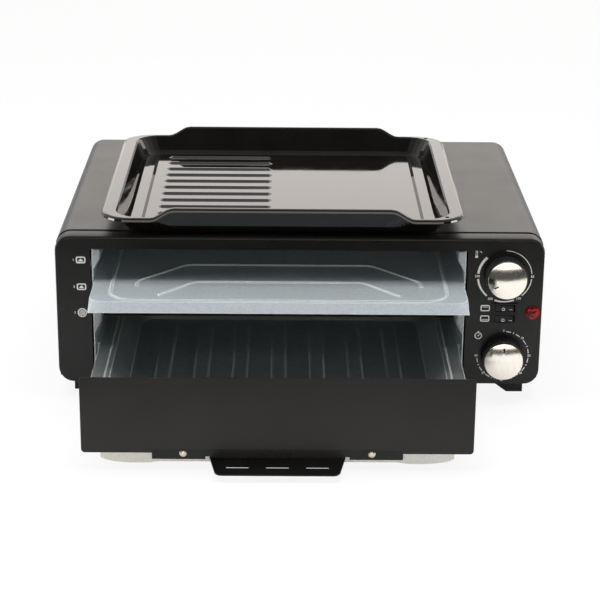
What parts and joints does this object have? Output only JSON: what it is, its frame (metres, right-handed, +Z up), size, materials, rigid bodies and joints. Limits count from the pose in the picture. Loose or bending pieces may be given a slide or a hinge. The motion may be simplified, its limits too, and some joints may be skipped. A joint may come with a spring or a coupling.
{
  "type": "pizza oven",
  "caption": "Low countertop pizza oven with a pull-out drawer, a sliding divider plate, rotary controls at the right and an enamelled grill pan resting on its roof.",
  "frame": {"origin": "on the table under the middle of the whole object's box, with the drawer pulled out as at rest", "axes": "+X to the right seen from the front, +Y into the oven, +Z up; the front faces -Y"},
  "size_m": [0.43, 0.5056, 0.177],
  "materials": {
    "black_paint": "satin black",
    "black_steel": "satin black, warm",
    "galvanised": "galvanised sheet",
    "black_enamel": "gloss black enamel",
    "black_plastic": "matt black",
    "switch_body": "matt black",
    "control_body": "zinc and moulded housing",
    "rubber": "matt black",
    "satin_steel": "brushed",
    "rivet_metal": "polished",
    "rod_metal": "heat-browned sheath",
    "ceramic": "unglazed",
    "red_lens": "clear red",
    "zinc": "plated"
  },
  "bodies": {
    "oven_body": {"outer_shell": "black_paint", "front_frame": "black_paint", "front_plate": "black_paint", "back_panel": "black_paint", "base_plate": "galvanised", "foot_front_left": "rubber", "foot_front_right": "rubber", "foot_rear_left": "rubber", "foot_rear_right": "rubber", "cavity_left_wall": "galvanised", "cavity_right_wall": "galvanised", "cavity_ceiling": "galvanised", "cavity_back_wall": "galvanised", "heating_rod_upper_front": "rod_metal", "heating_rod_upper_rear": "rod_metal", "heating_rod_lower_front": "rod_metal", "heating_rod_lower_rear": "rod_metal", "bush_upper_front_left": "ceramic", "bush_upper_front_right": "ceramic", "bush_upper_rear_left": "ceramic", "bush_upper_rear_right": "ceramic", "bush_lower_front_left": "ceramic", "bush_lower_front_right": "ceramic", "bush_lower_rear_left": "ceramic", "bush_lower_rear_right": "ceramic", "drawer_rail_left": "galvanised", "drawer_rail_right": "galvanised", "thermostat_body": "control_body", "timer_body": "control_body", "timer_bell": "zinc", "upper_switch_body": "switch_body", "lower_switch_body": "switch_body", "lamp_lens": "red_lens", "lamp_body": "black_plastic", "cord_gland": "black_plastic", "terminal_block": "ceramic"},
    "drawer": {"drawer_front": "black_steel", "drawer_tray": "galvanised", "drawer_apron": "galvanised", "handle_strip": "black_steel", "strip_rivet_left": "rivet_metal", "strip_rivet_right": "rivet_metal"},
    "divider": {"divider_plate": "galvanised"},
    "pan": {"grill_pan": "black_enamel"},
    "temperature_knob": {"temperature_knob_skirt": "black_plastic", "temperature_knob_cap": "satin_steel", "temperature_shaft": "zinc"},
    "timer_knob": {"timer_knob_skirt": "black_plastic", "timer_knob_cap": "satin_steel", "timer_shaft": "zinc"},
    "upper_rocker_key": {"upper_rocker": "black_plastic"},
    "lower_rocker_key": {"lower_rocker": "black_plastic"}
  },
  "joints": [
    {"name": "drawer_slide", "type": "slide", "parent": "oven_body", "child": "drawer", "axis": [0, -1, 0], "range_m": [-0.154, 0.07]},
    {"name": "divider_slide", "type": "slide", "parent": "oven_body", "child": "divider", "axis": [0, -1, 0], "range_m": [-0.044, 0.12]},
    {"name": "pan_lift", "type": "slide", "parent": "oven_body", "child": "pan", "axis": [0, 0, 1], "range_m": [0, 0.1]},
    {"name": "temperature_knob_turn", "type": "hinge", "parent": "oven_body", "child": "temperature_knob", "pos_m": [0.1803, -0.07625, 0.1175], "axis": [0, 1, 0], "range_deg": [-237, 83]},
    {"name": "timer_knob_turn", "type": "hinge", "parent": "oven_body", "child": "timer_knob", "pos_m": [0.1803, -0.07625, 0.0418], "axis": [0, 1, 0], "range_deg": [0, 280]},
    {"name": "upper_rocker_tip", "type": "hinge", "parent": "oven_body", "child": "upper_rocker_key", "pos_m": [0.1809, -0.07275, 0.0871], "axis": [0, 0, 1], "range_deg": [0, 10]},
    {"name": "lower_rocker_tip", "type": "hinge", "parent": "oven_body", "child": "lower_rocker_key", "pos_m": [0.1809, -0.07275, 0.0775], "axis": [0, 0, 1], "range_deg": [0, 10]}
  ]
}
